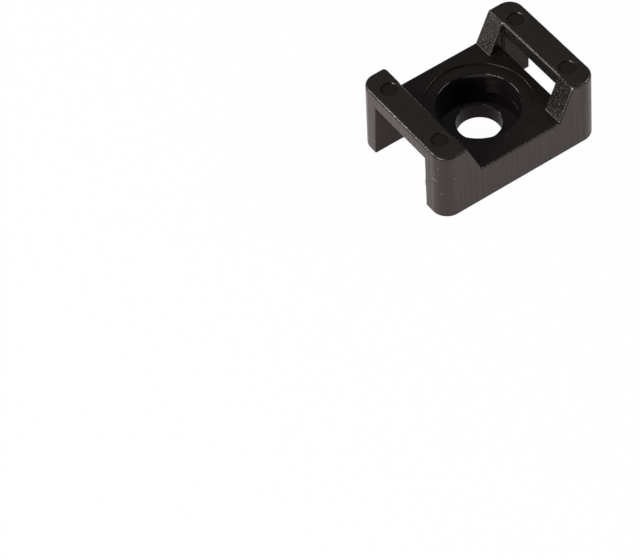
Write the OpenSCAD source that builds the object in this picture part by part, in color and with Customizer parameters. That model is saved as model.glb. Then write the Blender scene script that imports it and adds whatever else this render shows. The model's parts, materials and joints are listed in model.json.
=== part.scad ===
// Saddle mount for cable ties, one injection moulding with a counterbored screw hole.
//
// The flat base lies on z = 0 and the origin is at its middle. X runs from end bar to end bar.
// A bundle lies in the saddle along Y, and its tie passes under both end bars: down through
// one window, out of the slot below that bar, and the same at the other end.
// The steel above the parting line shapes the saddle, the windows and the screw seat, and the
// steel below it shapes the two slots, so nothing is undercut.
// Lengths are in millimetres and angles in degrees.

/* [Body] */
// Length over the two end bars, at the base
body_l = 22.2; // [21:0.1:30]
// Width across the mount, at the base
body_w = 16.2; // [14.6:0.1:24]
// Height to the top of the end bars
body_h = 9.6; // [8.6:0.1:14]
// Radius of the four upright corners, at the base
corner_r = 2; // [1:0.1:2.8]
// Draft of the outer walls and of the slot walls
draft = 1; // [0:0.25:2]
// Radius along the outer top rim of the end bars
rim_r = 0.35; // [0.1:0.05:0.5]

/* [Saddle] */
// Height of the saddle floor above the base
floor_z = 5.2; // [4.6:0.1:6.2]
// Length of each end bar along X
bar_l = 3.7; // [3.4:0.1:4.2]
// Thickness of each end bar
bar_t = 1.9; // [1.2:0.1:2.8]
// Run of each ramp, from the bar down to the saddle floor
ramp_run = 1.9; // [0.8:0.1:3]
// Radius along the outer edges of the ramps and the saddle floor
edge_r = 0.25; // [0.1:0.05:0.4]

/* [Tie slots] */
// Width of each slot at the base, for the widest tie with clearance
slot_w = 10; // [8:0.1:11]
// Step from each slot wall out to the window wall above it
jamb_step = 0.2; // [0.1:0.05:0.5]
// How far the slot's inner wall leans out from the saddle floor down to the base
slot_lead = 0.5; // [0.1:0.1:0.8]
// Radius in the two inner corners of each slot
slot_r = 0.5; // [0.2:0.1:1]

/* [Screw seat] */
// Diameter of the screw hole, clearance for an M5 screw
bore_d = 5.4; // [4.2:0.1:6.4]
// Diameter of the counterbore that takes the screw head
head_d = 9.9; // [8.4:0.1:11]
// Depth of the counterbore below the saddle floor
head_depth = 3; // [1.5:0.1:3.6]
// Diameter of the shallow recess round the counterbore
ring_d = 12.9; // [12:0.1:13.2]
// Depth of that recess
ring_depth = 0.2; // [0.1:0.05:0.3]
// Radius at the mouths of the counterbore and the screw hole
mouth_r = 0.1; // [0.05:0.05:0.3]
// Radius in the bottom corner of the counterbore
seat_r = 0.3; // [0.1:0.05:0.6]

/* [Ejector marks] */
// Diameter of the four round marks on the bar tops
mark_d = 2.1; // [1.4:0.1:2.2]
// Depth of each mark
mark_depth = 0.2; // [0.05:0.05:0.3]
// Distance of each mark's centre from the nearer end, at the base
mark_end = 2.15; // [2:0.05:2.3]
// Distance of each mark's centre from the nearer side, at the base
mark_side = 3.3; // [2.4:0.1:5]

/* [Hidden] */
$fn = 96;
// How far a cutter reaches past the surface that it opens
cut = 1;
// How far each rounding arc crosses over its two faces instead of only touching them
proud = 0.002;
// Sideways lean of a drafted wall for each millimetre of rise
lean = tan(draft);
// Inner face of each end bar, measured from the middle
bar_x = body_l / 2 - bar_l;
// Foot of each ramp, measured from the middle
foot_x = bar_x - ramp_run;
// Height and steepness of the ramps
ramp_rise = body_h - floor_z;
ramp_tilt = atan2(ramp_run, ramp_rise);
// Sideways lean, for each millimetre of drop, of the mitre between floor and ramp edges
mitre = tan((90 - ramp_tilt) / 2);
// Underside of the end bars
bar_z = body_h - bar_t;
// Width of the windows between the ramp walls
window_w = slot_w + 2 * jamb_step;
// Floor of the shallow recess and of the counterbore
ring_z = floor_z - ring_depth;
seat_z = floor_z - head_depth;

// Runs its children at both ends and both sides
module four_corners() {
    for (x = [0, 1])
        for (y = [0, 1])
            mirror([x, 0, 0])
                mirror([0, y, 0])
                    children();
}

// Runs its children at both ends
module two_ends() {
    for (x = [0, 1])
        mirror([x, 0, 0])
            children();
}

// Extrudes an outline drawn in X and Z across the mount
module across(width) {
    rotate([90, 0, 0])
        linear_extrude(height = width, center = true)
            children();
}

// Extrudes an outline drawn in Y and Z along the mount
module lengthways(length) {
    rotate([90, 0, 90])
        linear_extrude(height = length, center = true)
            children();
}

// Stands its children's Z along a slope that shifts by x_run and y_run over a rise,
// with their X axis kept square to Y
module sloped(x_run, y_run, rise) {
    rotate([0, atan2(x_run, rise), 0])
        rotate([-atan2(y_run, norm([x_run, rise])), 0, 0])
            children();
}

// Outline of what a rounded edge takes away. The edge is at the origin, one face runs along
// +X, the other at the given angle from it, and the solid lies between them
module edge_waste(angle, radius) {
    tangent = radius / tan(angle / 2);
    centre = radius / sin(angle / 2) * [cos(angle / 2), sin(angle / 2)];
    end = tangent * [cos(angle), sin(angle)];
    outward = cut * [cos(angle + 90), sin(angle + 90)];
    difference() {
        polygon([centre, [tangent, 0], [tangent, -cut], [-cut, -cut], end + outward, end]);
        translate(centre)
            circle(r = radius + proud);
    }
}

// The same for the left shoulder of a drafted wall, with the level face to the right
module shoulder_waste(radius) {
    rotate(-90 - draft)
        edge_waste(90 + draft, radius);
}

// Section of a drafted block that stands on its base line
module wall_section(span) {
    top = span / 2 - lean * body_h;
    polygon([[-span / 2, 0], [span / 2, 0], [top, body_h], [-top, body_h]]);
}

// What rounds one upright corner: its box less the drafted cone that touches both walls
module corner_waste() {
    difference() {
        translate([-cut, -cut, -cut])
            cube([corner_r + cut, corner_r + cut, body_h + 2 * cut]);
        translate([corner_r, corner_r, -2 * cut])
            cylinder(
                h = body_h + 4 * cut,
                r1 = corner_r + lean * 2 * cut,
                r2 = corner_r - lean * (body_h + 2 * cut)
            );
    }
}

// The drafted block with its upright corners rounded and its top rim still sharp
module block() {
    difference() {
        intersection() {
            across(body_w)
                wall_section(body_l);
            lengthways(body_l)
                wall_section(body_w);
        }
        four_corners()
            translate([-body_l / 2, -body_w / 2, 0])
                corner_waste();
    }
}

// What the rounded top rim takes away along both ends
module end_rims() {
    across(body_w - 2 * corner_r)
        for (side = [0, 1])
            mirror([side, 0])
                translate([-body_l / 2 + lean * body_h, body_h])
                    shoulder_waste(rim_r);
}

// What it takes away along both sides
module side_rims() {
    lengthways(body_l - 2 * corner_r)
        for (side = [0, 1])
            mirror([side, 0])
                translate([-body_w / 2 + lean * body_h, body_h])
                    shoulder_waste(rim_r);
}

// What it takes away round one upright corner
module corner_rim() {
    translate([-body_l / 2 + corner_r, -body_w / 2 + corner_r, body_h])
        rotate_extrude(angle = 90, start = 180)
            translate([corner_r - lean * body_h, 0])
                mirror([1, 0])
                    shoulder_waste(rim_r);
}

// The outer form with its rounded rim
module outer_form() {
    difference() {
        block();
        end_rims();
        side_rims();
        four_corners()
            corner_rim();
    }
}

// The saddle with sharp edges: its floor between two ramps, open above
module saddle_form() {
    across(body_w + 2 * cut)
        polygon([
            [-bar_x, body_h + cut],
            [-bar_x, body_h],
            [-foot_x, floor_z],
            [foot_x, floor_z],
            [bar_x, body_h],
            [bar_x, body_h + cut]
        ]);
}

// What the rounded side edge of the saddle floor takes away, mitred to the ramps' edges
module floor_edge() {
    reach = 2 * edge_r;
    intersection() {
        lengthways(body_l)
            translate([-body_w / 2 + lean * floor_z, floor_z])
                shoulder_waste(edge_r);
        across(body_w + 2 * cut)
            polygon([
                [-foot_x - mitre * reach, floor_z - reach],
                [foot_x + mitre * reach, floor_z - reach],
                [foot_x - mitre * reach, floor_z + reach],
                [-foot_x + mitre * reach, floor_z + reach]
            ]);
    }
}

// What the rounded side edge of a ramp takes away, mitred to the floor's edge
module ramp_edge() {
    reach = ramp_rise + cut;
    intersection() {
        translate([-foot_x, -body_w / 2 + lean * floor_z, floor_z])
            sloped(-ramp_run, lean * ramp_rise, ramp_rise)
                linear_extrude(height = 3 * body_h, center = true)
                    rotate(90)
                        edge_waste(90 + asin(sin(draft) * sin(ramp_tilt)), edge_r);
        across(body_w + 2 * cut)
            polygon([
                [-foot_x - mitre * edge_r * 2, floor_z - edge_r * 2],
                [-foot_x + mitre * reach, floor_z + reach],
                [-body_l, floor_z + reach],
                [-body_l, floor_z - edge_r * 2]
            ]);
    }
}

// The saddle with its rounded side edges
module saddle() {
    saddle_form();
    for (side = [0, 1])
        mirror([0, side, 0])
            floor_edge();
    four_corners()
        ramp_edge();
}

// The space between the ramp walls, which opens the windows beside both end bars
module windows() {
    translate([-bar_x, -window_w / 2, floor_z])
        cube([2 * bar_x, window_w, body_h]);
}

// The slot below one end bar, widest at the base and open into the window above the floor
module tie_slot() {
    slope = slot_lead / floor_z;
    widen = lean * cut;
    narrow = lean * bar_z;
    difference() {
        intersection() {
            across(body_w)
                polygon([
                    [-body_l, -cut],
                    [-bar_x + slot_lead + slope * cut, -cut],
                    [-bar_x, floor_z],
                    [-foot_x, floor_z],
                    [-foot_x, bar_z],
                    [-body_l, bar_z]
                ]);
            lengthways(2 * body_l)
                polygon([
                    [-slot_w / 2 - widen, -cut],
                    [slot_w / 2 + widen, -cut],
                    [slot_w / 2 - narrow, bar_z],
                    [-slot_w / 2 + narrow, bar_z]
                ]);
        }
        for (side = [0, 1])
            mirror([0, side, 0])
                slot_corner();
    }
}

// What the rounded inner corner of a slot leaves standing, up to the saddle floor
module slot_corner() {
    corner_angle = 90 - asin(sin(draft) * slot_lead / norm([slot_lead, floor_z]));
    intersection() {
        translate([-bar_x + slot_lead, -slot_w / 2, 0])
            sloped(-slot_lead, lean * floor_z, floor_z)
                linear_extrude(height = 4 * body_h, center = true)
                    rotate(90)
                        edge_waste(corner_angle, slot_r);
        translate([-body_l, -body_w, -2 * cut])
            cube([2 * body_l, 2 * body_w, floor_z + 2 * cut]);
    }
}

// Ring that the rounded mouth of a hole takes away, with the mouth's face at z = 0
module mouth_waste(hole_d) {
    rotate_extrude()
        translate([hole_d / 2, 0])
            rotate(-90)
                edge_waste(90, mouth_r);
}

// The screw seat through the middle of the mount: recess, counterbore and hole
module screw_seat() {
    translate([0, 0, ring_z])
        cylinder(h = head_depth, d = ring_d);
    difference() {
        translate([0, 0, seat_z])
            cylinder(h = head_depth, d = head_d);
        translate([0, 0, seat_z])
            rotate_extrude()
                translate([head_d / 2, 0])
                    rotate(90)
                        edge_waste(90, seat_r);
    }
    translate([0, 0, -cut])
        cylinder(h = seat_z + 2 * cut, d = bore_d);
    translate([0, 0, ring_z])
        mouth_waste(head_d);
    translate([0, 0, seat_z])
        mouth_waste(bore_d);
}

// The round marks that the ejector pins leave on the bar tops
module ejector_marks() {
    four_corners()
        translate([-body_l / 2 + mark_end, -body_w / 2 + mark_side, body_h - mark_depth])
            cylinder(h = mark_depth + cut, d = mark_d);
}

// The whole moulding
module saddle_mount() {
    color("#2b2826")
        difference() {
            outer_form();
            saddle();
            windows();
            two_ends()
                tie_slot();
            screw_seat();
            ejector_marks();
        }
}

saddle_mount();
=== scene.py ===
"""Looks of a moulded nylon saddle mount for cable ties: its mesh, its finishes and its studio."""
import json
import logging
import math
from collections.abc import Iterable
from dataclasses import dataclass, field
from enum import Enum, auto
from typing import Any

import bmesh
import bpy
from mathutils import Matrix, Vector


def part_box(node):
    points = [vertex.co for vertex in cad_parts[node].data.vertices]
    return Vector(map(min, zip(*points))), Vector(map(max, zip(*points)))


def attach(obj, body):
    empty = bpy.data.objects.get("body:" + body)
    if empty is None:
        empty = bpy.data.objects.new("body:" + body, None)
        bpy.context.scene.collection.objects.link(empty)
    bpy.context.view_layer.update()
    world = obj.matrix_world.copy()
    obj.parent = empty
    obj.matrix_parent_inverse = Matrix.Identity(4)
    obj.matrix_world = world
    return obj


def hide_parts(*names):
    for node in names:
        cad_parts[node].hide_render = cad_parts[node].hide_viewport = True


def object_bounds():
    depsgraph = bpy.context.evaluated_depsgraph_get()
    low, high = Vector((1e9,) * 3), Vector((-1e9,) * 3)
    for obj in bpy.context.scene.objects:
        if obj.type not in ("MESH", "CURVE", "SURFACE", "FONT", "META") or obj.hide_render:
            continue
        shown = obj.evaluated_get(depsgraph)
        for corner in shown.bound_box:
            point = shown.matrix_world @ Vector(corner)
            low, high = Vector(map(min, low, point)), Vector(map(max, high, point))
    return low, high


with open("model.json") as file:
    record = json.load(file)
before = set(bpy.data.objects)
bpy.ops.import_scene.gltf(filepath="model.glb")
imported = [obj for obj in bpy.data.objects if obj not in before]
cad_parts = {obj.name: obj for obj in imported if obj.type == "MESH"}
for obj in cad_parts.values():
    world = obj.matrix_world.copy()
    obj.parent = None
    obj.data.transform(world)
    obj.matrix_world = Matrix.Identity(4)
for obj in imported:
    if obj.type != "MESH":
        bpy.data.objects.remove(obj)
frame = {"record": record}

CAD_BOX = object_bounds()
NODE = "saddle_mount"
GRAIN = "grain"
DRAWN = "drawn"
SHEEN = "sheen"
# Face attribute for paleness: real paleness in most zones, a painted highlight on some rims and
# beads.
BLOOM_AND_HIGHLIGHT = "bloom"
MIDDLE = 0.5
AREA_WEIGHT = 100
BEAD_STEPS = 8
BEAD_SIDES = 16

# Angles between neighbouring faces: taken as one plane, rounded as an edge, shaded as a crease.
COPLANAR = math.radians(0.3)
SHARP = math.radians(20)
CREASE = math.radians(40)

# How far a unit normal leans one way, from hardly at all to quite straight.
UPRIGHT = 0.1
SLANTED = 0.2
TILTED = 0.3
MOSTLY = 0.7
LEVEL = 0.9
FLAT = 0.98

LOG = logging.getLogger("saddle_mount")

Colour = tuple[float, float, float, float]
Place = tuple[float, float, float]
Profile = list[tuple[float, float]]
Ring = list[Vector]


# ---------------------------------------------------------------- shader maths


class Socket:
    """An output socket that takes part in Python arithmetic by adding Math nodes."""

    def __init__(self, tree: "Shader", socket: bpy.types.NodeSocket) -> None:
        """Wraps one output socket.

        Args:
            tree: The shader that the socket belongs to.
            socket: The output socket itself.
        """
        self.tree = tree
        self.socket = socket

    def _math(self, operation: str, *terms: Any) -> "Socket":
        """Adds one Math node.

        Args:
            operation: Blender's name for the operation.
            terms: The operands in order, sockets or numbers.

        Returns:
            The node's result.
        """
        return self.tree.add("ShaderNodeMath", {"operation": operation}, dict(enumerate(terms)))[0]

    def __add__(self, other: Any) -> "Socket":
        """Returns self + other."""
        return self._math("ADD", self, other)

    def __radd__(self, other: Any) -> "Socket":
        """Returns other + self."""
        return self._math("ADD", other, self)

    def __sub__(self, other: Any) -> "Socket":
        """Returns self - other."""
        return self._math("SUBTRACT", self, other)

    def __rsub__(self, other: Any) -> "Socket":
        """Returns other - self."""
        return self._math("SUBTRACT", other, self)

    def __mul__(self, other: Any) -> "Socket":
        """Returns self * other."""
        return self._math("MULTIPLY", self, other)

    def __rmul__(self, other: Any) -> "Socket":
        """Returns other * self."""
        return self._math("MULTIPLY", other, self)

    def between(self, low: float, high: float) -> "Socket":
        """Eases from 0 at low to 1 at high.

        Args:
            low: The value that gives 0.
            high: The value that gives 1.

        Returns:
            The eased mask.
        """
        return self.tree.add(
            "ShaderNodeMapRange",
            {"interpolation_type": "SMOOTHSTEP"},
            {"Value": self, "From Min": low, "From Max": high},
        )["Result"]


class Outputs:
    """A node's outputs by name or number, each as a Socket."""

    def __init__(self, tree: "Shader", node: bpy.types.Node) -> None:
        """Wraps one node."""
        self.tree = tree
        self.node = node

    def __getitem__(self, key: str | int) -> Socket:
        """Returns one output."""
        return Socket(self.tree, self.node.outputs[key])


class Shader:
    """The node tree of a material or of the world, built from expressions."""

    def __init__(self, owner: bpy.types.Material | bpy.types.World) -> None:
        """Empties the owner's node tree.

        Args:
            owner: The material or the world that is built.
        """
        owner.use_nodes = True
        self.owner = owner
        self.nodes = owner.node_tree.nodes
        self.links = owner.node_tree.links
        self.nodes.clear()

    def add(
        self,
        kind: str,
        settings: dict[str, Any] | None = None,
        values: dict[str | int, Any] | None = None,
    ) -> Outputs:
        """Adds a node, sets it up and feeds it.

        Args:
            kind: The node's type.
            settings: Its own settings, such as a Math node's operation.
            values: What goes into each input: a Socket to link, or a plain value.

        Returns:
            The node's outputs.
        """
        node = self.nodes.new(kind)
        for key, value in (settings or {}).items():
            setattr(node, key, value)
        for key, value in (values or {}).items():
            target = node.inputs[key]
            if isinstance(value, Socket):
                self.links.new(value.socket, target)
            else:
                target.default_value = value
        return Outputs(self, node)

    def blend(self, factor: Any, first: Any, second: Any) -> Socket:
        """Mixes two colours.

        Args:
            factor: 0 gives the first colour and 1 the second.
            first: A colour or a Socket.
            second: A colour or a Socket.

        Returns:
            The mixed colour.
        """
        return self.add(
            "ShaderNodeMix", {"data_type": "RGBA"}, {0: factor, 6: first, 7: second}
        )[2]

    def cover(self, factor: Any, first: Socket, second: Socket) -> Socket:
        """Mixes two surfaces.

        Args:
            factor: 0 gives the first surface and 1 the second.
            first: A surface.
            second: A surface.

        Returns:
            The mixed surface.
        """
        return self.add("ShaderNodeMixShader", None, {0: factor, 1: first, 2: second})[0]

    def noise(
        self, place: Socket, feature: float, detail: float = 2.0, rough: float = 0.5
    ) -> Socket:
        """Adds fractal noise.

        Args:
            place: The coordinates to sample, in metres.
            feature: Size of the largest features, in metres.
            detail: Number of finer octaves.
            rough: Strength of each finer octave.

        Returns:
            The noise, about 0 to 1 with its middle at 0.5.
        """
        return self.add(
            "ShaderNodeTexNoise",
            {"noise_dimensions": "3D"},
            {"Vector": place, "Scale": 1 / feature, "Detail": detail, "Roughness": rough},
        )[0]

    def object_place(self) -> Socket:
        """Returns the object coordinates in metres."""
        return self.add("ShaderNodeTexCoord")["Object"]

    def attribute(self, name: str) -> Socket:
        """Returns a number stored on the mesh."""
        return self.add("ShaderNodeAttribute", {"attribute_name": name})["Fac"]

    def stretched(self, place: Socket, scale: Place) -> Socket:
        """Scales coordinates by a different factor along each axis.

        Args:
            place: The coordinates.
            scale: The factors along X, Y and Z.

        Returns:
            The scaled coordinates.
        """
        return self.add(
            "ShaderNodeVectorMath", {"operation": "MULTIPLY"}, {0: place, 1: scale}
        )[0]

    def finish(self, surface: Socket) -> bpy.types.Material | bpy.types.World:
        """Joins the surface to the output.

        Args:
            surface: The finished surface or background.

        Returns:
            The material or the world.
        """
        kind = "World" if isinstance(self.owner, bpy.types.World) else "Material"
        self.add("ShaderNodeOutput" + kind, None, {"Surface": surface})
        return self.owner


# -------------------------------------------------------------------- finishes


class Grain(Enum):
    """How a zone of the moulding took up the steel: strength of grain, roughness and bloom, a
    paleness that in some zones is a painted highlight.

    SMOOTH is the ejector marks and the walls of the recess. Of the rounded rims, LEE_RIM is
    turned away from the main lamp and BRIGHT_RIM is the two edges that catch it, where a highlight
    is painted. The edge under a bar has a pale line painted as a highlight. The zone of scuffed
    nylon also takes pale beads painted as highlights beside the ejector marks and at two corners
    of a bar. BAR is the walls between the ramps and RAMP the ramps themselves.
    """

    SMOOTH = (0.05, 0.24, 0.006)
    FLOOR = (0.25, 0.26, 0.005)
    TOP = (0.8, 0.35, 0.018)
    SIDE = (0.5, 0.22, 0.0)
    RIM = (1.0, 0.27, 0.010)
    LEE_RIM = (0.6, 0.22, 0.014)
    # Painted highlight: strong bloom on the edges that catch the main lamp.
    BRIGHT_RIM = (1.6, 0.27, 0.10)
    # Painted highlight: a pale line along the rounded edge under each bar.
    PARTING = (1.0, 0.27, 0.06)
    # Scuffed nylon, and pale beads painted as highlights.
    WORN = (1.0, 0.30, 0.7)
    BAR = (0.9, 0.24, 0.0)
    RAMP = (2.2, 0.23, 0.0)

    @property
    def strength(self) -> float:
        """The strength of the grain, 0 for none."""
        return self.value[0]

    @property
    def roughness(self) -> float:
        """The roughness between the grains."""
        return self.value[1]

    @property
    def bloom(self) -> float:
        """How far the zone has paled, from 0 to 1; on some rims and beads this paleness is a
        painted highlight.
        """
        return self.value[2]


@dataclass(frozen=True)
class Nylon:
    """Black nylon, whatever steel it was moulded against.

    Attributes:
        name: The material's name.
        pigment: The colour of the nylon.
        tint: The colour of its highlights.
        level: The strength of its highlights, 0.5 for what the index of refraction gives.
        ior: The index of refraction.
    """

    name: str
    pigment: Colour
    tint: Colour
    level: float = 0.5
    ior: float = 1.53

    def surface(
        self, shader: Shader, tone: Any, roughness: Any, relief: Socket, depth: float
    ) -> bpy.types.Material:
        """Joins colour, roughness and relief in one surface.

        Args:
            shader: The tree that they belong to.
            tone: The base colour.
            roughness: The roughness.
            relief: The height of the surface, about 0 to 1.
            depth: The height that 1 stands for, in metres.

        Returns:
            The finished material.
        """
        bump = shader.add(
            "ShaderNodeBump", None, {"Strength": 1.0, "Distance": depth, "Height": relief}
        )
        plastic = shader.add(
            "ShaderNodeBsdfPrincipled",
            None,
            {
                "Base Color": tone,
                "Roughness": roughness,
                "IOR": self.ior,
                "Specular IOR Level": self.level,
                "Specular Tint": self.tint,
                "Normal": bump["Normal"],
            },
        )
        return shader.finish(plastic[0])


@dataclass(frozen=True)
class SparkedNylon(Nylon):
    """Nylon moulded against spark-eroded steel: finely grained, with a low sheen.

    Grain, lumps and clouds are noise from fine to coarse, and draw lines are noise stretched
    upwards. Specks are dust: speck_share tells which cells have one, and speck_edge where it
    ends. A size or a cell is in metres, a mask is the range that a noise fades in over, a pale
    is how much paler it makes the nylon and a sheen how much rougher.

    Attributes:
        scuff_and_highlight: The colour of nylon that has paled fully, which is also the colour of
            the painted highlights.
        depth: How deep the grain is, in metres; the lumps and the draw lines are parts of it.
        glint: How much paler the tips of the grain are.
    """

    name: str = "sparked_nylon"
    pigment: Colour = (0.0064, 0.0061, 0.0057, 1.0)
    tint: Colour = (1.0, 0.84, 0.83, 1.0)
    scuff_and_highlight: Colour = (0.40, 0.40, 0.37, 1.0)
    grain_size: float = 0.00020
    lump_size: float = 0.00036
    draw_size: float = 0.00045
    draw_stretch: float = 0.05
    cloud_size: float = 0.0025
    speck_cell: float = 0.0022
    speck_edge: tuple[float, float] = (0.012, 0.03)
    speck_share: tuple[float, float] = (0.5, 0.52)
    depth: float = 0.00005
    lump_depth: float = 0.2
    draw_depth: float = 1.2
    glint_mask: tuple[float, float] = (0.55, 0.68)
    glint: float = 0.01
    cloud_mask: tuple[float, float] = (0.4, 0.8)
    cloud_pale: float = 0.004
    draw_mask: tuple[float, float] = (0.4, 0.7)
    draw_pale: float = 0.012
    speck_pale: float = 0.35
    cloud_sheen: float = 0.08
    lump_sheen: float = 0.15
    draw_sheen: float = 0.2

    def build(self) -> bpy.types.Material:
        """Makes the material.

        Returns:
            The material.
        """
        shader = Shader(bpy.data.materials.new(self.name))
        place = shader.object_place()
        amount = shader.attribute(GRAIN)
        drawn = shader.attribute(DRAWN)
        fine = shader.noise(place, self.grain_size, 1.0, 0.6)
        lump = shader.noise(place, self.lump_size, 2.0, 0.55)
        cloud = shader.noise(place, self.cloud_size, 3.0, 0.55)
        streak = shader.noise(
            shader.stretched(place, (1.0, 1.0, self.draw_stretch)), self.draw_size
        )
        cell = shader.add(
            "ShaderNodeTexVoronoi", None, {"Vector": place, "Scale": 1 / self.speck_cell}
        )
        speck = 1 - cell["Distance"].between(*self.speck_edge)
        speck = speck * cell["Color"].between(*self.speck_share)
        relief = (fine - MIDDLE) * amount + (lump - MIDDLE) * amount * amount * self.lump_depth
        relief = relief + streak * drawn * self.draw_depth
        glint = (fine * 0.5 + lump * 0.5).between(*self.glint_mask) * amount
        pale = cloud.between(*self.cloud_mask) * self.cloud_pale
        pale = pale + streak.between(*self.draw_mask) * drawn * self.draw_pale
        # The zone's bloom adds paleness, which on some rims and beads is a painted highlight.
        pale = pale + glint * self.glint + shader.attribute(BLOOM_AND_HIGHLIGHT) + speck * self.speck_pale
        tone = shader.blend(pale, self.pigment, self.scuff_and_highlight)
        sheen = shader.attribute(SHEEN) + (cloud - MIDDLE) * self.cloud_sheen
        sheen = sheen + (lump - MIDDLE) * self.lump_sheen
        sheen = sheen + (streak - MIDDLE) * drawn * self.draw_sheen
        return self.surface(shader, tone, sheen, relief, self.depth)


@dataclass(frozen=True)
class PolishedNylon(Nylon):
    """Nylon moulded against a polished core pin: nearly black and glossy.

    Attributes:
        roughness: The mean roughness, which the haze changes.
        haze_size: Size of the patches of haze, in metres.
        haze_sheen: How much the haze changes the roughness.
        lay_size: Length of the fine lines left by turning the pin, in metres.
        lay_squeeze: How much thinner than long they are.
        lay_depth: Their depth as a part of the haze's.
        depth: The depth of the haze, in metres.
    """

    name: str = "polished_nylon"
    pigment: Colour = (0.0066, 0.0058, 0.0060, 1.0)
    tint: Colour = (1.0, 0.86, 0.87, 1.0)
    roughness: float = 0.10
    haze_size: float = 0.0012
    haze_sheen: float = 0.12
    lay_size: float = 0.0006
    lay_squeeze: float = 12.0
    lay_depth: float = 0.5
    depth: float = 0.000003

    def build(self) -> bpy.types.Material:
        """Makes the material.

        Returns:
            The material.
        """
        shader = Shader(bpy.data.materials.new(self.name))
        place = shader.object_place()
        haze = shader.noise(place, self.haze_size, 3.0, 0.6)
        lay = shader.noise(shader.stretched(place, (1.0, 1.0, self.lay_squeeze)), self.lay_size)
        sheen = self.roughness + (haze - MIDDLE) * self.haze_sheen
        return self.surface(shader, self.pigment, sheen, haze + lay * self.lay_depth, self.depth)


# ------------------------------------------------------------------ mesh tools


def loft(name: str, rings: list[Ring]) -> bpy.types.Object:
    """Makes a closed solid through rings that all have the same number of points.

    Args:
        name: The object's name.
        rings: Closed outlines in order, each counterclockwise seen from the last ring's side.

    Returns:
        The solid, linked to the scene.
    """
    mesh = bmesh.new()
    loops = [[mesh.verts.new(point) for point in ring] for ring in rings]
    count = len(rings[0])
    for low, high in zip(loops, loops[1:]):
        for i in range(count):
            j = (i + 1) % count
            mesh.faces.new((low[i], low[j], high[j], high[i]))
    mesh.faces.new(list(reversed(loops[0])))
    mesh.faces.new(loops[-1])
    bmesh.ops.recalc_face_normals(mesh, faces=mesh.faces)
    data = bpy.data.meshes.new(name)
    mesh.to_mesh(data)
    mesh.free()
    solid = bpy.data.objects.new(name, data)
    bpy.context.scene.collection.objects.link(solid)
    return solid


def apply_modifiers(solid: bpy.types.Object) -> None:
    """Makes the modified mesh the object's own mesh.

    Args:
        solid: The object, whose modifiers go.
    """
    bpy.context.view_layer.update()
    graph = bpy.context.evaluated_depsgraph_get()
    old = solid.data
    solid.data = bpy.data.meshes.new_from_object(solid.evaluated_get(graph))
    solid.modifiers.clear()
    bpy.data.meshes.remove(old)


def combine(solid: bpy.types.Object, tools: Iterable[bpy.types.Object], operation: str) -> None:
    """Cuts tools from a solid or joins them to it, and deletes them.

    Args:
        solid: The solid that changes.
        tools: Closed solids.
        operation: DIFFERENCE or UNION.
    """
    used = list(tools)
    for tool in used:
        boolean = solid.modifiers.new(tool.name, "BOOLEAN")
        boolean.operation = operation
        boolean.solver = "EXACT"
        boolean.object = tool
    apply_modifiers(solid)
    for tool in used:
        data = tool.data
        bpy.data.objects.remove(tool)
        bpy.data.meshes.remove(data)


def arc(
    centre: tuple[float, float], radius: float, start: float, end: float, steps: int
) -> Profile:
    """Gives points along an arc.

    Args:
        centre: The arc's centre.
        radius: Its radius.
        start: First angle in degrees.
        end: Last angle in degrees.
        steps: Number of equal steps.

    Returns:
        The points, both ends included.
    """
    angles = [math.radians(start + (end - start) * i / steps) for i in range(steps + 1)]
    return [(centre[0] + radius * math.cos(a), centre[1] + radius * math.sin(a)) for a in angles]


def turned(name: str, profile: Profile, place: Vector, sides: int) -> bpy.types.Object:
    """Turns a profile about a vertical line into a closed solid.

    Args:
        name: The object's name.
        profile: Radius and height of each ring, from the bottom up.
        place: Point that radius 0 and height 0 stand at.
        sides: Number of sides.

    Returns:
        The solid.
    """
    angles = [2 * math.pi * i / sides for i in range(sides)]
    rings = [
        [place + Vector((r * math.cos(a), r * math.sin(a), z)) for a in angles]
        for r, z in profile
    ]
    return loft(name, rings)


def mark_creases(solid: bpy.types.Object) -> None:
    """Keeps the shading apart along the edges that aren't rounded.

    Args:
        solid: The object, whose faces are smooth.
    """
    mesh = bmesh.new()
    mesh.from_mesh(solid.data)
    for edge in mesh.edges:
        if len(edge.link_faces) == 2:
            edge.smooth = edge.calc_face_angle() < CREASE
    mesh.to_mesh(solid.data)
    mesh.free()


def even_shading(solid: bpy.types.Object) -> None:
    """Lets the large faces lead the shading, so that they look flat.

    Args:
        solid: The object, whose creases are marked.
    """
    weighted = solid.modifiers.new("shading", "WEIGHTED_NORMAL")
    weighted.keep_sharp = True
    weighted.mode = "FACE_AREA"
    weighted.weight = AREA_WEIGHT
    apply_modifiers(solid)


# ---------------------------------------------------------------- the moulding


@dataclass(frozen=True)
class Nub:
    """A small raised bead of flash, of scuffed nylon or of nylon painted pale as a highlight, half
    sunk in a face.

    Attributes:
        place: Its middle.
        radii: Its radii, the second along its length.
        along: The way that it runs.
        cap_angle: Where its round ends are cut off, in degrees from its waist.
        spread: The squared distance from its middle, in radii, up to which a face is its own.
    """

    place: Place
    radii: Place
    along: Place = (0.0, 1.0, 0.0)
    cap_angle: float = 84.0
    spread: float = 1.3

    def frame(self) -> Matrix:
        """Returns the turn and place of the bead, whose second radius lies along its length."""
        turn = Vector(self.along).to_track_quat("Y", "Z").to_matrix().to_4x4()
        return Matrix.Translation(self.place) @ turn

    def build(self) -> bpy.types.Object:
        """Makes the bead.

        Returns:
            A closed solid.
        """
        profile = arc((0.0, 0.0), 1.0, -self.cap_angle, self.cap_angle, BEAD_STEPS)
        bead = turned("bead", profile, Vector((0, 0, 0)), BEAD_SIDES)
        bead.data.transform(self.frame() @ Matrix.Diagonal((*self.radii, 1.0)))
        return bead

    def covers(self, point: Vector) -> bool:
        """Tells whether a point lies on the bead."""
        local = self.frame().inverted() @ point
        return sum((local[i] / self.radii[i]) ** 2 for i in range(3)) < self.spread


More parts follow.
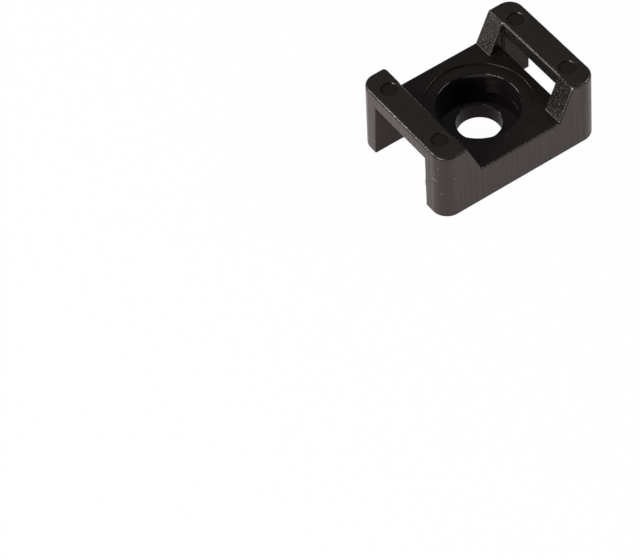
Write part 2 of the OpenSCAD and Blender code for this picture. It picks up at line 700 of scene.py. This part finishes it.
class Finish(Enum):
    """The moulding's finishes, by their place in its list of materials; two of them paint reddish
    shade into the slots and the screw hole.
    """

    SPARKED = 0
    POLISHED = 1
    # Painted shade: weaker highlights and a redder colour in the screw hole.
    BORE = 2
    # Painted shade: weaker highlights and a redder colour on the inward walls of the slots and the
    # window.
    JAMB = 3
    RAMP = 4


class Face(Enum):
    """What a flat face of the moulding is, for choosing the radius of its edges."""

    OUTER = auto()
    TOP = auto()
    FLOOR = auto()
    BASE = auto()
    SOFFIT = auto()
    RAMP = auto()
    BAR = auto()
    WINDOW = auto()
    SLOT_SIDE = auto()
    SLOT_BACK = auto()


def mount(name: str) -> dict[str, Any]:
    """Returns one of the record's mounts by name."""
    return next(m for m in frame["record"]["mounts"] if m["name"] == name)


# Which way the upright corner by a ramp has to look to catch the light, where a highlight is
# painted on it.
CATCH_X = -0.8
CATCH_Y = (-0.4, -0.1)

# Small marks: where a pale bead painted as a highlight sits beside each ejector mark, and its size;
# one scratch and three specks of wear.
MARK_GLINT_SIDE = (0.912, 0.407)
MARK_GLINT_SIZE = (0.00005, 0.00022, 0.00004)
SCRATCH = Nub((-0.01096, -0.00640, 0.00568), (0.00003, 0.00042, 0.00003), (0.20, -0.97, 0.11))
SPECK_SIZE = (0.00005, 0.00005, 0.00006)
SPECKS = (
    (-0.01077, -0.00693, 0.00781),
    (-0.00925, -0.00799, 0.00601),
    (-0.01064, -0.00727, 0.00371),
)


@dataclass
class SaddleMoulding:
    """The one-piece mount: drafted block, saddle, windows, tie slots and screw seat.

    All lengths are in metres. The sizes of the solid come first, in the words of its source.
    Then come the fine roundings, the wear and the painted highlights of this one mount, the widths
    that tell one zone from the next, and the numbers of steps that round shapes are made of.
    """

    low: Vector = field(default_factory=lambda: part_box(NODE)[0])
    high: Vector = field(default_factory=lambda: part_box(NODE)[1])
    corner_r: float = 0.002
    lean: float = math.tan(math.radians(1.0))
    floor_z: float = 0.0052
    bar_l: float = 0.0037
    bar_t: float = 0.0019
    ramp_run: float = 0.0019
    slot_w: float = 0.010
    jamb_step: float = 0.0002
    slot_lead: float = 0.0005
    ring_r: float = 0.00645
    ring_depth: float = 0.0002
    head_depth: float = 0.003
    mark_r: float = 0.00105
    mark_depth: float = 0.0002
    mark_end: float = 0.00215
    mark_side: float = 0.0033
    mouth_r: float = 0.00013
    seat_r: float = 0.00002
    lip_r: float = 0.00004
    thick_leg: float = 0.00025
    worn_tab_r: float = 0.00025
    worn_foot_r: float = 0.00040
    worn_horn_r: float = 0.0005
    unworn_r: float = 0.00001
    glint_in: float = 0.00002
    skin: float = 0.0001
    hair: float = 0.00001
    soffit_highlight_band: float = 0.0002
    bar_rim: float = 0.0003
    side_rim: float = 0.0004
    lee_rim: float = 0.0005
    past: float = 0.001
    corner_steps: int = 12
    rim_steps: int = 6
    lip_steps: int = 4
    mark_steps: int = 3
    bevel_steps: int = 4
    seat_sides: int = 128
    mark_sides: int = 48
    bore_r: float = field(default_factory=lambda: mount("screw_hole")["dims"]["r_mm"] / 1000)
    head_r: float = field(default_factory=lambda: mount("screw_head_recess")["dims"]["r_mm"] / 1000)

    def __post_init__(self) -> None:
        """Works out the places that features share and the limits that tell faces apart."""
        self.half_l = (self.high.x - self.low.x) / 2
        self.half_w = (self.high.y - self.low.y) / 2
        self.top_z = self.high.z
        self.bar_x = self.half_l - self.bar_l
        self.foot_x = self.bar_x - self.ramp_run
        self.soffit_z = self.top_z - self.bar_t
        self.window_y = self.slot_w / 2 + self.jamb_step
        self.ring_z = self.floor_z - self.ring_depth
        self.seat_z = self.floor_z - self.head_depth
        self.outer_x = self.half_l - 0.4 * self.corner_r
        self.outer_y = self.window_y * 1.2
        self.slot_side_x = self.bar_x - 0.1 * self.bar_l
        self.drawn_x = self.half_l - 0.8 * self.corner_r
        self.drawn_y = self.half_w - self.corner_r / 3
        self.seat_edge = self.head_r + 0.9 * self.mouth_r

    def edge_radii(self) -> dict[frozenset[Face], float]:
        """Lists the radius of each kind of edge.

        Returns:
            The radii by the two faces that meet at the edge.
        """
        f = Face
        table = {
            (f.TOP, f.OUTER): 0.00036,
            (f.TOP, f.BAR): 0.00030,
            (f.TOP, f.RAMP): 0.00024,
            (f.RAMP, f.OUTER): 0.00024,
            (f.FLOOR, f.OUTER): 0.00024,
            (f.FLOOR, f.RAMP): 0.00010,
            (f.RAMP, f.WINDOW): 0.00012,
            (f.WINDOW, f.FLOOR): 0.00008,
            (f.WINDOW, f.BAR): 0.00012,
            (f.WINDOW, f.TOP): 0.00010,
            (f.FLOOR, f.SLOT_BACK): 0.00012,
            (f.BAR, f.SOFFIT): 0.00014,
            (f.OUTER, f.SOFFIT): 0.00012,
            (f.BAR, f.SLOT_SIDE): 0.00008,
            (f.SLOT_SIDE, f.SOFFIT): 0.00014,
            (f.SLOT_SIDE, f.OUTER): 0.00016,
            (f.SLOT_SIDE, f.SLOT_BACK): 0.00050,
            (f.BASE, f.OUTER): 0.00004,
            (f.BASE, f.SLOT_SIDE): 0.00008,
            (f.BASE, f.SLOT_BACK): 0.00008,
        }
        return {frozenset(pair): radius for pair, radius in table.items()}

    def outline(self, z: float) -> Ring:
        """Gives the block's rounded outline at one height.

        Args:
            z: The height above the base.

        Returns:
            The outline, counterclockwise from above.
        """
        inset = self.lean * z
        cx = self.half_l - self.corner_r
        cy = self.half_w - self.corner_r
        ring: Ring = []
        for sx, sy, start in ((1, 1, 0), (-1, 1, 90), (-1, -1, 180), (1, -1, 270)):
            centre = (sx * cx, sy * cy)
            corner = arc(centre, self.corner_r - inset, start, start + 90, self.corner_steps)
            ring += [Vector((x, y, z)) for x, y in corner]
        return ring

    def block(self) -> bpy.types.Object:
        """Makes the drafted block with round upright corners."""
        return loft(NODE + "_body", [self.outline(0.0), self.outline(self.top_z)])

    def saddle_cutter(self) -> bpy.types.Object:
        """Makes what the saddle takes away: a floor between two ramps, open above.

        Returns:
            The cutter.
        """
        reach = self.top_z + self.past
        section = [
            (-self.bar_x, reach),
            (-self.bar_x, self.top_z),
            (-self.foot_x, self.floor_z),
            (self.foot_x, self.floor_z),
            (self.bar_x, self.top_z),
            (self.bar_x, reach),
        ]
        sides = (-self.half_w - self.past, self.half_w + self.past)
        return loft("saddle_cutter", [[Vector((x, y, z)) for x, z in section] for y in sides])

    def window_cutter(self) -> bpy.types.Object:
        """Makes the space between the ramp walls.

        Returns:
            The cutter.
        """
        x, y = self.bar_x, self.window_y
        corners = ((-x, -y), (x, -y), (x, y), (-x, y))
        levels = (self.floor_z, self.top_z + self.past)
        return loft("window_cutter", [[Vector((cx, cy, z)) for cx, cy in corners] for z in levels])

    def slot_cutter(self, end: int) -> bpy.types.Object:
        """Makes the tie slot below one end bar, with drafted sides and a leaning inner wall.

        Args:
            end: 1 or -1, for the end along X.

        Returns:
            The cutter.
        """
        slope = self.slot_lead / self.floor_z
        far = self.half_l + self.past
        section = [
            (far, -self.past),
            (self.bar_x - self.slot_lead - slope * self.past, -self.past),
            (self.bar_x, self.floor_z),
            (self.foot_x, self.floor_z),
            (self.foot_x, self.soffit_z),
            (far, self.soffit_z),
        ]
        extra = {-1: self.thick_leg if end < 0 else 0.0, 1: 0.0}
        rings = [
            [
                Vector((end * x, side * (self.slot_w / 2 - self.lean * z - extra[side]), z))
                for x, z in section
            ]
            for side in (-1, 1)
        ]
        return loft("slot_cutter", rings)

    def seat_cutter(self) -> bpy.types.Object:
        """Makes the recess, the counterbore and the screw hole with their rounded edges.

        Returns:
            The cutter.
        """
        mouth, foot, lip = self.mouth_r, self.seat_r, self.lip_r
        steps = self.rim_steps
        profile = [(self.bore_r, -self.past), (self.bore_r, self.seat_z - mouth)]
        profile += arc((self.bore_r + mouth, self.seat_z - mouth), mouth, 180, 90, steps)[1:]
        profile += arc((self.head_r - foot, self.seat_z + foot), foot, 270, 360, steps)
        profile += arc((self.head_r + mouth, self.ring_z - mouth), mouth, 180, 90, steps)
        profile += [(self.ring_r, self.ring_z)]
        profile += arc((self.ring_r + lip, self.floor_z - lip), lip, 180, 90, self.lip_steps)
        profile += [(self.ring_r + lip, self.top_z)]
        return turned("seat_cutter", profile, Vector((0, 0, 0)), self.seat_sides)

    def mark_cutter(self, sx: int, sy: int) -> bpy.types.Object:
        """Makes one ejector mark's cutter.

        Args:
            sx: 1 or -1, for the end along X.
            sy: 1 or -1, for the side along Y.

        Returns:
            The cutter.
        """
        place = Vector((
            sx * (self.half_l - self.mark_end),
            sy * (self.half_w - self.mark_side),
            self.top_z,
        ))
        lip = self.lip_r / 2
        profile = [(self.mark_r, -self.mark_depth)]
        profile += arc((self.mark_r + lip, -lip), lip, 180, 90, self.mark_steps)
        profile += [(self.mark_r + lip, self.past)]
        return turned("mark_cutter", profile, place, self.mark_sides)

    def foot_cutter(self) -> bpy.types.Object:
        """Makes what wear has taken from the foot of one leg, fading out along its base edge.

        Returns:
            The cutter.
        """
        x, past = self.half_l, self.past
        ends = (
            (self.slot_w / 2 - past, self.worn_foot_r),
            (self.half_w - self.corner_r, self.unworn_r),
        )
        rings = []
        for y, r in ends:
            section = [(x + past, -past), (x + past, r)]
            section += arc((x - r, r), r, 0, -90, self.rim_steps)
            section += [(x - r, -past)]
            rings.append([Vector((px, y, pz)) for px, pz in section])
        return loft("foot_cutter", rings)

    def flash_nubs(self) -> list[Nub]:
        """Lists the small flash left on two edges of the first tie slot.

        Returns:
            The beads of flash.
        """
        leg_y = -(self.slot_w / 2 - self.thick_leg - self.lean * self.soffit_z / 2)
        end = -self.half_l
        return [
            Nub((end + 0.0003, leg_y - 0.00004, 0.0036), (0.00022, 0.00018, 0.0011)),
            Nub((end + 0.00032, 0.00125, self.soffit_z + 0.00003), (0.00013, 0.00032, 0.00013)),
        ]

    def scuffs_and_glints(self) -> list[Nub]:
        """Lists what shows pale: beads painted as highlights beside the ejector marks and at two
        corners of a bar, a scratch and specks.

        Returns:
            The beads of scuffed nylon.
        """
        towards = Vector((*MARK_GLINT_SIDE, 0.0)) * (self.mark_r - self.glint_in)
        across = (-MARK_GLINT_SIDE[1], MARK_GLINT_SIDE[0], 0.0)
        mark_x = self.half_l - self.mark_end
        mark_y = self.half_w - self.mark_side
        # Pale beads painted as highlights on the lit side of three ejector marks.
        mark_glints = [
            Nub((x + towards.x, y + towards.y, self.top_z - MARK_GLINT_SIZE[2]), MARK_GLINT_SIZE, across)
            for x, y in ((mark_x, mark_y), (mark_x, -mark_y), (-mark_x, mark_y))
        ]
        # Pale beads painted as highlights at two top corners of the bar at +X, where it meets the
        # ramps.
        inner = (self.bar_x - self.glint_in, self.window_y, self.top_z - 0.00012)
        outer = (self.bar_x + 0.00007, -0.00773, self.top_z - 0.00015)
        corners = [
            Nub(inner, (0.00013, 0.00015, 0.00010)),
            Nub(outer, (0.00013, 0.00016, 0.00010)),
        ]
        return mark_glints + corners + [SCRATCH] + [Nub(place, SPECK_SIZE) for place in SPECKS]

    def face_kind(self, face: bmesh.types.BMFace) -> Face:
        """Tells what a flat face is from where it lies and which way it looks.

        Args:
            face: A face of the moulding before its edges are rounded.

        Returns:
            Its kind.
        """
        n, c = face.normal, face.calc_center_median()
        outward = n.x * c.x + n.y * c.y > 0
        if n.z > LEVEL:
            return Face.TOP if c.z > self.soffit_z else Face.FLOOR
        if n.z < -LEVEL:
            return Face.BASE if c.z < self.floor_z / 2 else Face.SOFFIT
        if n.z > SLANTED:
            return Face.RAMP
        if outward and (abs(c.x) > self.outer_x or abs(c.y) > self.outer_y):
            return Face.OUTER
        if abs(n.x) > MOSTLY:
            return Face.SLOT_BACK if c.z < self.floor_z else Face.BAR
        return Face.SLOT_SIDE if abs(c.x) > self.slot_side_x else Face.WINDOW

    def weigh_edges(self, solid: bpy.types.Object) -> float:
        """Gives each sharp edge a bevel weight in proportion to its radius.

        Args:
            solid: The moulding with sharp edges.

        Returns:
            The radius that a weight of 1 stands for.
        """
        radii = self.edge_radii()
        largest = max(*radii.values(), self.worn_tab_r, self.worn_horn_r)
        mesh = bmesh.new()
        mesh.from_mesh(solid.data)
        bmesh.ops.dissolve_limit(mesh, angle_limit=COPLANAR, verts=mesh.verts, edges=mesh.edges)
        weight = mesh.edges.layers.float.new("bevel_weight_edge")
        for edge in mesh.edges:
            if len(edge.link_faces) == 2 and edge.calc_face_angle() > SHARP:
                pair = frozenset(self.face_kind(f) for f in edge.link_faces)
                middle = (edge.verts[0].co + edge.verts[1].co) / 2
                radius = radii.get(pair, 0.0)
                if pair == {Face.SLOT_SIDE, Face.OUTER} and middle.x > 0 and middle.y > 0:
                    radius = self.worn_tab_r
                if pair == {Face.RAMP, Face.OUTER} and middle.x < 0 and middle.y > 0:
                    radius = self.worn_horn_r
                edge[weight] = radius / largest
                if pair not in radii:
                    kinds = sorted(kind.name for kind in pair)
                    LOG.info("sharp edge left: %s at %s", kinds, edge.verts[0].co)
        mesh.to_mesh(solid.data)
        mesh.free()
        return largest

    def round_edges(self, solid: bpy.types.Object) -> None:
        """Rounds the edges, each by the radius of its kind.

        Args:
            solid: The moulding with sharp edges.
        """
        bevel = solid.modifiers.new("edges", "BEVEL")
        bevel.width = self.weigh_edges(solid)
        bevel.limit_method = "WEIGHT"
        bevel.offset_type = "OFFSET"
        bevel.segments = self.bevel_steps
        bevel.use_clamp_overlap = False
        bevel.miter_outer = "MITER_SHARP"
        apply_modifiers(solid)

    def grain_of(self, polygon: bpy.types.MeshPolygon) -> Grain:
        """Tells which zone a face belongs to.

        Args:
            polygon: A face of the finished moulding.

        Returns:
            The zone's grain.
        """
        n, c = polygon.normal, polygon.center
        above = c.z > self.floor_z + self.skin
        to_mark = math.hypot(
            abs(c.x) - (self.half_l - self.mark_end), abs(c.y) - (self.half_w - self.mark_side)
        )
        if above and to_mark < self.mark_r + self.lip_r and c.z < self.top_z - self.mark_depth / 2:
            return Grain.SMOOTH
        if n.z > FLAT:
            return Grain.TOP if above else Grain.FLOOR
        if math.hypot(c.x, c.y) < self.ring_r + 2 * self.lip_r and c.z > self.seat_z:
            return Grain.SMOOTH
        # Scuffed nylon, and beads painted pale as highlights.
        if any(nub.covers(c) for nub in self.scuffs_and_glints()):
            return Grain.WORN
        # The inner top edge of the bar at +X, which catches the main lamp, gets a painted
        # highlight.
        if above and n.x < -TILTED and n.z > TILTED and c.x > 0 and abs(c.y) < self.window_y:
            return Grain.BRIGHT_RIM
        # The rounded edge under each bar gets a pale line painted as a highlight.
        facing_in = n.x * c.x < -TILTED * abs(c.x)
        if facing_in and n.z < -SLANTED and abs(c.z - self.soffit_z) < self.soffit_highlight_band:
            return Grain.PARTING
        # The upright corner by a ramp that catches the light gets a painted highlight.
        if above and c.x > 0 and n.x < CATCH_X and CATCH_Y[0] < n.y < CATCH_Y[1]:
            return Grain.BRIGHT_RIM
        between_bars = abs(c.x) < self.bar_x + self.bar_rim
        if above and between_bars and abs(c.y) < self.half_w - self.side_rim:
            return Grain.RAMP if n.z > SLANTED and abs(c.y) > self.window_y else Grain.BAR
        if n.z < UPRIGHT:
            return Grain.SIDE
        lee = n.y < -TILTED and c.z > self.top_z - self.lee_rim
        return Grain.LEE_RIM if lee else Grain.RIM

    def is_drawn(self, polygon: bpy.types.MeshPolygon) -> bool:
        """Tells whether a face is an outer wall, which shows the draw of the mould.

        Args:
            polygon: A face of the finished moulding.

        Returns:
            True for an outer wall.
        """
        n, c = polygon.normal, polygon.center
        at_wall = abs(c.x) > self.drawn_x or abs(c.y) > self.drawn_y
        return abs(n.z) < UPRIGHT and at_wall and n.x * c.x + n.y * c.y > 0

    def finish_of(self, polygon: bpy.types.MeshPolygon) -> Finish:
        """Tells which finish a face takes.

        Args:
            polygon: A face of the finished moulding.

        Returns:
            Its finish.
        """
        n, c = polygon.normal, polygon.center
        inside = math.hypot(c.x, c.y) < self.seat_edge
        if inside and self.skin < c.z < self.ring_z - self.hair:
            # The screw hole below the seat takes the finish with painted reddish shade.
            return Finish.BORE if c.z < self.seat_z - self.mouth_r else Finish.POLISHED
        if self.grain_of(polygon) is Grain.RAMP:
            return Finish.RAMP
        # Inward walls below the bars take the finish with painted reddish shade.
        facing_in = abs(n.y) > MOSTLY and n.y * c.y < 0
        return Finish.JAMB if facing_in and c.z < self.soffit_z else Finish.SPARKED

    def assign_finishes(self, solid: bpy.types.Object) -> None:
        """Makes the finishes and gives each face its own.

        Args:
            solid: The moulding.
        """
        finishes = {
            Finish.SPARKED: SparkedNylon(),
            Finish.POLISHED: PolishedNylon(),
            # Painted reddish shade for the screw hole.
            Finish.BORE: PolishedNylon(
                "bore_nylon", (0.022, 0.007, 0.007, 1.0), roughness=0.32, level=0.2
            ),
            # Painted reddish shade for the inward walls of the slots and the window.
            Finish.JAMB: SparkedNylon("jamb_nylon", (0.011, 0.0052, 0.0047, 1.0), level=0.2),
            Finish.RAMP: SparkedNylon("ramp_nylon", level=0.33, glint=0.035),
        }
        solid.data.materials.clear()
        for kind in Finish:
            solid.data.materials.append(finishes[kind].build())
        for polygon in solid.data.polygons:
            polygon.material_index = self.finish_of(polygon).value
            polygon.use_smooth = True

    def store_zones(self, solid: bpy.types.Object) -> None:
        """Stores the zone of each face as numbers that the finishes read.

        Args:
            solid: The moulding.
        """
        names = (GRAIN, SHEEN, BLOOM_AND_HIGHLIGHT, DRAWN)
        for name in names:
            solid.data.attributes.new(name, "FLOAT", "FACE")
        layers = [solid.data.attributes[name] for name in names]
        for polygon in solid.data.polygons:
            zone = self.grain_of(polygon)
            drawn = float(self.is_drawn(polygon))
            values = (zone.strength, zone.roughness, zone.bloom, drawn)
            for layer, value in zip(layers, values):
                layer.data[polygon.index].value = value

    def finish_faces(self, solid: bpy.types.Object) -> None:
        """Gives each face its finish, its zone and its shading.

        Args:
            solid: The moulding.
        """
        self.assign_finishes(solid)
        mark_creases(solid)
        self.store_zones(solid)
        even_shading(solid)

    def build(self) -> bpy.types.Object:
        """Builds the moulding, dresses it and puts it in the place of its CAD node.

        Returns:
            The finished piece.
        """
        piece = self.block()
        cutters = [self.saddle_cutter(), self.window_cutter()]
        cutters += [self.slot_cutter(end) for end in (1, -1)]
        combine(piece, cutters, "DIFFERENCE")
        self.round_edges(piece)
        cutters = [self.seat_cutter(), self.foot_cutter()]
        cutters += [self.mark_cutter(sx, sy) for sx in (1, -1) for sy in (1, -1)]
        combine(piece, cutters, "DIFFERENCE")
        combine(piece, [nub.build() for nub in self.flash_nubs() + self.scuffs_and_glints()], "UNION")
        self.finish_faces(piece)
        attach(piece, "root")
        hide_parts(NODE)
        LOG.info("%s: %d faces", piece.name, len(piece.data.polygons))
        return piece


# ------------------------------------------------------------------ the studio


@dataclass(frozen=True)
class SoftBox:
    """A rectangular area lamp that looks at the mount.

    Attributes:
        name: The lamp's name.
        towards: The way from the mount to the lamp.
        distance: How far away it is, in metres.
        size: Its width and height, in metres.
        power: Its power in watts.
        colour: The colour of its light.
    """

    name: str
    towards: Place
    distance: float
    size: tuple[float, float]
    power: float
    colour: Place = (1.0, 0.97, 0.93)

    def build(self, target: Vector) -> None:
        """Places the lamp so that it faces the target.

        Args:
            target: The middle of the mount.
        """
        light = bpy.data.lights.new(self.name, "AREA")
        light.shape = "RECTANGLE"
        light.size, light.size_y = self.size
        light.energy = self.power
        light.color = self.colour
        lamp = bpy.data.objects.new(self.name, light)
        direction = Vector(self.towards).normalized()
        lamp.location = target + direction * self.distance
        lamp.rotation_euler = direction.to_track_quat("Z", "Y").to_euler()
        bpy.context.scene.collection.objects.link(lamp)


@dataclass(frozen=True)
class Studio:
    """Pale floor, soft lamps, sky and the camera.

    Attributes:
        floor_size: Length of the floor's sides.
        floor_gap: How far the floor lies below the mount, so that the two don't fight.
        azimuth: Which way the camera stands, in degrees from the front.
        elevation: How high it stands, in degrees.
        roll: How far it is turned about its own axis, in degrees.
        distance: How far it is from the point that it looks at.
        lens: Its focal length, in millimetres.
        aim_left: How far left of the mount's middle it looks.
        aim_down: How far below the mount's middle it looks.
        horizon: Strength of the sky low down.
        zenith: Strength of the sky overhead.
        low_sky: Height where the sky begins to brighten, with 1 for straight up.
        high_sky: Height where it is as bright as overhead.
        white: How white the camera sees the floor.
        gleam: How white the mount mirrors the floor.
        paper: The floor's own colour.
        sensor: Width of the camera's sensor, in millimetres.
        near: Nearest distance that the camera sees.
        far: Farthest distance that it sees.
    """

    floor_size: float = 0.24
    floor_gap: float = 0.00002
    azimuth: float = -30.95
    elevation: float = 50.79
    roll: float = -5.10
    distance: float = 0.348
    lens: float = 171.28
    aim_left: float = 0.01814
    aim_down: float = 0.01981
    horizon: float = 0.02
    zenith: float = 0.15
    low_sky: float = 0.1
    high_sky: float = 0.8
    white: float = 0.98
    gleam: float = 0.42
    paper: Colour = (0.90, 0.82, 0.83, 1.0)
    sensor: float = 36.0
    near: float = 0.01
    far: float = 20.0

    def lamps(self) -> list[SoftBox]:
        """Lists the soft boxes: the main one at the left, one behind and a weak one at the right.

        Returns:
            The lamps.
        """
        return [
            SoftBox("left_box", (-0.831, -0.208, 0.50), 0.5, (0.34, 0.14), 2.2, (1.0, 0.95, 0.90)),
            SoftBox("back_box", (-0.667, 0.578, 0.43), 0.5, (0.24, 0.12), 1.5),
            SoftBox("right_box", (0.720, -0.480, 0.50), 0.5, (0.30, 0.12), 1.08),
        ]

    def floor(self) -> bpy.types.Object:
        """Makes the pale floor that the mount stands on, clear when seen from below.

        Returns:
            The floor, a thing of the stage.
        """
        half = self.floor_size / 2
        corners = [
            Vector((x, y, -self.floor_gap))
            for x, y in ((-half, -half), (half, -half), (half, half), (-half, half))
        ]
        data = bpy.data.meshes.new("floor")
        data.from_pydata(corners, [], [(0, 1, 2, 3)])
        plane = bpy.data.objects.new("floor", data)
        bpy.context.scene.collection.objects.link(plane)
        data.materials.append(self.floor_material())
        return plane

    def floor_material(self) -> bpy.types.Material:
        """Makes the floor's look: paper that the camera sees nearly white.

        Returns:
            The material.
        """
        shader = Shader(bpy.data.materials.new("pale_floor"))
        paper = shader.add("ShaderNodeBsdfDiffuse", None, {"Color": self.paper})[0]
        glow = shader.add("ShaderNodeEmission", None, {"Color": (1.0, 1.0, 1.0, 1.0)})[0]
        clear = shader.add("ShaderNodeBsdfTransparent")[0]
        path = shader.add("ShaderNodeLightPath")
        seen = path["Is Camera Ray"] * self.white + path["Is Glossy Ray"] * self.gleam
        seen = seen + path["Is Transmission Ray"]
        below = shader.add("ShaderNodeNewGeometry")["Backfacing"]
        return shader.finish(shader.cover(below, shader.cover(seen, paper, glow), clear))

    def sky(self) -> None:
        """Lights the scene from a world that is dim overhead and darker low down.

        The camera itself sees it white.
        """
        shader = Shader(bpy.data.worlds.new("studio"))
        height = shader.add(
            "ShaderNodeSeparateXYZ", None, {"Vector": shader.add("ShaderNodeTexCoord")["Generated"]}
        )["Z"]
        rise = shader.add("ShaderNodeMapRange", None, {
            "Value": height,
            "From Min": self.low_sky,
            "From Max": self.high_sky,
            "To Min": self.horizon,
            "To Max": self.zenith,
        })["Result"]
        seen = shader.add("ShaderNodeLightPath")["Is Camera Ray"]
        strength = shader.add(
            "ShaderNodeMapRange", None, {"Value": seen, "To Min": rise, "To Max": 1.0}
        )["Result"]
        back = shader.add("ShaderNodeBackground", None, {"Strength": strength})[0]
        bpy.context.scene.world = shader.finish(back)

    def camera(self, target: Vector) -> None:
        """Places the camera.

        Args:
            target: The middle of the mount.
        """
        az, el, roll = (math.radians(a) for a in (self.azimuth, self.elevation, self.roll))
        back = Vector((math.sin(az) * math.cos(el), -math.cos(az) * math.cos(el), math.sin(el)))
        level = Vector((math.cos(az), math.sin(az), 0))
        upright = back.cross(level)
        right = math.cos(roll) * level + math.sin(roll) * upright
        up = math.cos(roll) * upright - math.sin(roll) * level
        data = bpy.data.cameras.new("camera")
        data.lens = self.lens
        data.sensor_width = self.sensor
        data.clip_start = self.near
        data.clip_end = self.far
        camera = bpy.data.objects.new("camera", data)
        turn = Matrix((right, up, back)).transposed().to_4x4()
        place = target - right * self.aim_left - up * self.aim_down + back * self.distance
        camera.matrix_world = Matrix.Translation(place) @ turn
        bpy.context.scene.collection.objects.link(camera)
        bpy.context.scene.camera = camera

    def build(self, target: Vector) -> None:
        """Builds the whole studio round the target.

        Args:
            target: The middle of the mount.
        """
        self.floor()
        self.sky()
        for lamp in self.lamps():
            lamp.build(target)
        self.camera(target)
        bpy.context.scene.view_settings.view_transform = "Standard"


def main() -> None:
    """Builds the mount and its studio."""
    logging.basicConfig(level=logging.INFO, format="%(name)s: %(message)s")
    low, high = CAD_BOX
    moulding = SaddleMoulding()
    moulding.build()
    Studio().build((low + high) / 2)


if __name__ == "__main__":
    main()
